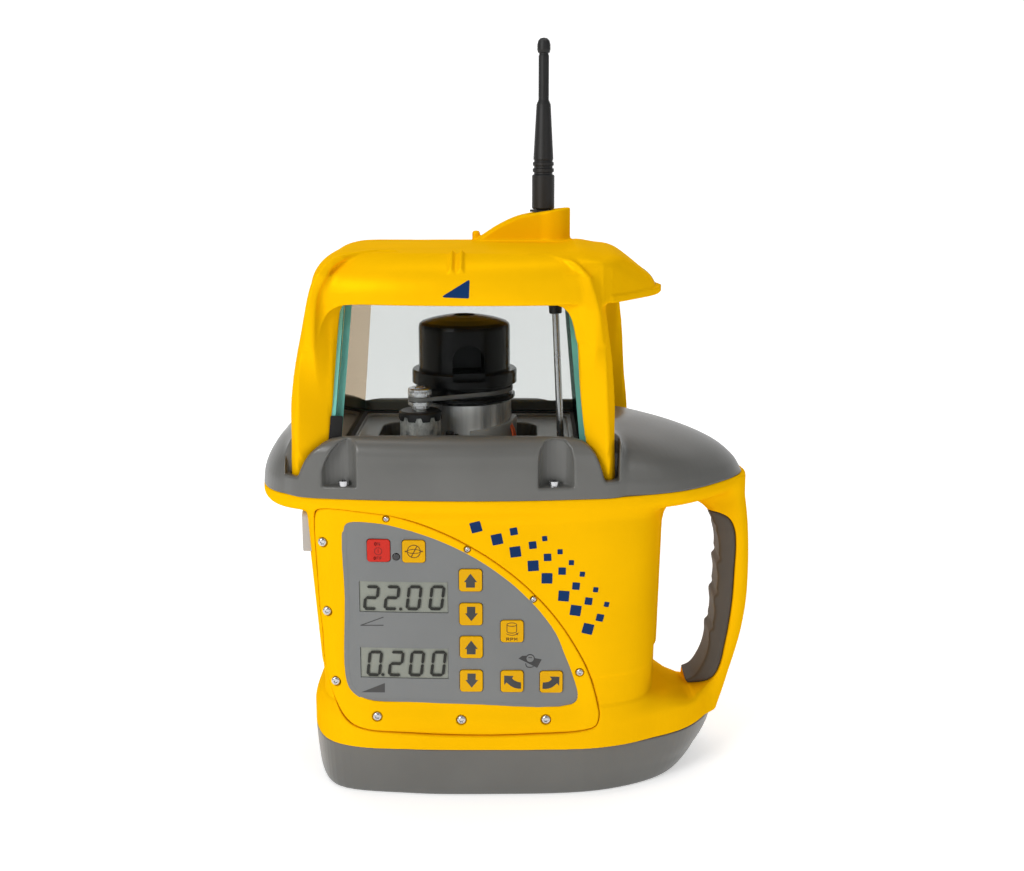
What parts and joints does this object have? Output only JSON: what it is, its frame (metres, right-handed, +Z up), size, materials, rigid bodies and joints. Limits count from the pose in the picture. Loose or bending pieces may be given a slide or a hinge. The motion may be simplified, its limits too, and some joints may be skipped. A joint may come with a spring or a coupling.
{
  "type": "grade laser",
  "caption": "Rotating grade laser: moulded body with keypad, side carry handle, glazed rotor bay under a four-legged canopy, antenna on top and a tripod thread below.",
  "frame": {"origin": "centre of the tripod thread's mouth at the underside of the base", "axes": "+Z up along the rotor axis, -Y towards the keypad front, +X towards the carry handle"},
  "size_m": [0.3076, 0.1824, 0.4615],
  "materials": {
    "yellow_shell": "fine moulded texture",
    "gray_shell": "fine moulded texture",
    "panel_gray": "satin film",
    "grip_rubber": "matte",
    "seal_rubber": "matte",
    "glass": "clear, tinted edge",
    "key_yellow": "satin",
    "key_red": "satin",
    "led_lens": "clear lens",
    "lcd": "reflective display",
    "board_green": "solder mask",
    "rotor_black": "gloss",
    "black_plastic": "moulded",
    "belt": "matte",
    "steel": "machined",
    "aluminium": "turned",
    "cast_frame": "cast",
    "brass": "turned",
    "cell_wrap": "printed film",
    "antenna_rubber": "satin"
  },
  "bodies": {
    "housing": {"main_housing": "yellow_shell", "base_cover": "gray_shell", "tripod_insert": "brass", "base_screws": "steel", "handle_grip": "grip_rubber", "keypad_bezel": "yellow_shell", "bezel_screws": "steel", "keypad_membrane": "panel_gray", "lcd_modules": "lcd", "keypad_board": "board_green", "status_led": "led_lens", "port_plate": "black_plastic", "charge_jack": "brass", "top_cover": "gray_shell", "cover_seal": "seal_rubber", "cover_screws": "steel", "canopy": "yellow_shell", "window_front": "glass", "window_rear": "glass", "window_left": "glass", "window_right": "glass", "window_gasket": "seal_rubber", "antenna_mount": "aluminium", "cable_conduit": "steel", "conduit_ferrule": "black_plastic", "battery_holder": "black_plastic", "battery_cells": "cell_wrap", "battery_contacts": "steel", "door_hinge_pin": "steel", "chassis": "cast_frame", "gimbal_pins": "steel", "main_board": "board_green", "tilt_actuators": "steel"},
    "key_power": {"key_power": "key_red"},
    "key_mode": {"key_mode": "key_yellow"},
    "key_grade_up": {"key_grade_up": "key_yellow"},
    "key_grade_down": {"key_grade_down": "key_yellow"},
    "key_cross_up": {"key_cross_up": "key_yellow"},
    "key_cross_down": {"key_cross_down": "key_yellow"},
    "key_speed": {"key_speed": "key_yellow"},
    "key_turn_left": {"key_turn_left": "key_yellow"},
    "key_turn_right": {"key_turn_right": "key_yellow"},
    "antenna": {"antenna": "antenna_rubber"},
    "battery_door": {"battery_door": "yellow_shell"},
    "door_latch": {"door_latch": "black_plastic"},
    "gimbal_ring": {"gimbal_ring": "aluminium", "cross_pins": "steel"},
    "laser_tube": {"laser_tube": "aluminium", "laser_module": "brass", "motor_bracket": "cast_frame", "rotor_motor": "steel", "drive_belt": "belt", "rotor_bearing": "steel"},
    "rotor": {"rotor_head": "rotor_black", "rotor_pulley": "black_plastic", "prism": "glass"},
    "motor_pulley": {"motor_pulley": "steel"},
    "grade_plunger": {"grade_plunger": "steel"},
    "cross_plunger": {"cross_plunger": "steel"}
  },
  "joints": [
    {"name": "key_power_press", "type": "slide", "parent": "housing", "child": "key_power", "axis": [0, 1, 0], "range_m": [0, 0.0005], "stiffness_N_per_m": 400},
    {"name": "key_mode_press", "type": "slide", "parent": "housing", "child": "key_mode", "axis": [0, 1, 0], "range_m": [0, 0.0005], "stiffness_N_per_m": 400},
    {"name": "key_grade_up_press", "type": "slide", "parent": "housing", "child": "key_grade_up", "axis": [0, 1, 0], "range_m": [0, 0.0005], "stiffness_N_per_m": 400},
    {"name": "key_grade_down_press", "type": "slide", "parent": "housing", "child": "key_grade_down", "axis": [0, 1, 0], "range_m": [0, 0.0005], "stiffness_N_per_m": 400},
    {"name": "key_cross_up_press", "type": "slide", "parent": "housing", "child": "key_cross_up", "axis": [0, 1, 0], "range_m": [0, 0.0005], "stiffness_N_per_m": 400},
    {"name": "key_cross_down_press", "type": "slide", "parent": "housing", "child": "key_cross_down", "axis": [0, 1, 0], "range_m": [0, 0.0005], "stiffness_N_per_m": 400},
    {"name": "key_speed_press", "type": "slide", "parent": "housing", "child": "key_speed", "axis": [0, 1, 0], "range_m": [0, 0.0005], "stiffness_N_per_m": 400},
    {"name": "key_turn_left_press", "type": "slide", "parent": "housing", "child": "key_turn_left", "axis": [0, 1, 0], "range_m": [0, 0.0005], "stiffness_N_per_m": 400},
    {"name": "key_turn_right_press", "type": "slide", "parent": "housing", "child": "key_turn_right", "axis": [0, 1, 0], "range_m": [0, 0.0005], "stiffness_N_per_m": 400},
    {"name": "antenna_turn", "type": "hinge", "parent": "housing", "child": "antenna", "pos_m": [0.05, 0.046, 0.4], "axis": [0, 0, 1], "range_deg": [0, 360]},
    {"name": "battery_door_hinge", "type": "hinge", "parent": "housing", "child": "battery_door", "pos_m": [0, 0.0802, 0.042], "axis": [-1, 0, 0], "range_deg": [0, 100]},
    {"name": "door_latch_turn", "type": "hinge", "parent": "battery_door", "child": "door_latch", "pos_m": [0, 0.0767, 0.104], "axis": [0, -1, 0], "range_deg": [0, 90]},
    {"name": "grade_tilt", "type": "hinge", "parent": "housing", "child": "gimbal_ring", "pos_m": [0, 0, 0.176], "axis": [0, 1, 0], "range_deg": [-5.7, 14]},
    {"name": "cross_tilt", "type": "hinge", "parent": "gimbal_ring", "child": "laser_tube", "pos_m": [0, 0, 0.176], "axis": [1, 0, 0], "range_deg": [-5.7, 5.7]},
    {"name": "rotor_spin", "type": "hinge", "parent": "laser_tube", "child": "rotor", "pos_m": [0, 0, 0.25], "axis": [0, 0, 1], "continuous": true},
    {"name": "motor_pulley_spin", "type": "hinge", "parent": "laser_tube", "child": "motor_pulley", "pos_m": [-0.0254, -0.04, 0.245], "axis": [0, 0, 1], "continuous": true},
    {"name": "grade_plunger_slide", "type": "slide", "parent": "housing", "child": "grade_plunger", "axis": [0, 0, 1], "range_m": [-0.0061, 0.0148]},
    {"name": "cross_plunger_slide", "type": "slide", "parent": "housing", "child": "cross_plunger", "axis": [0, 0, 1], "range_m": [-0.0061, 0.0061]}
  ],
  "couplings": [
    {"joint": "motor_pulley_spin", "follows": "rotor_spin", "ratio": 4.7581},
    {"joint": "grade_plunger_slide", "follows": "grade_tilt", "m_per_rad": 0.06},
    {"joint": "cross_plunger_slide", "follows": "cross_tilt", "m_per_rad": 0.06}
  ]
}
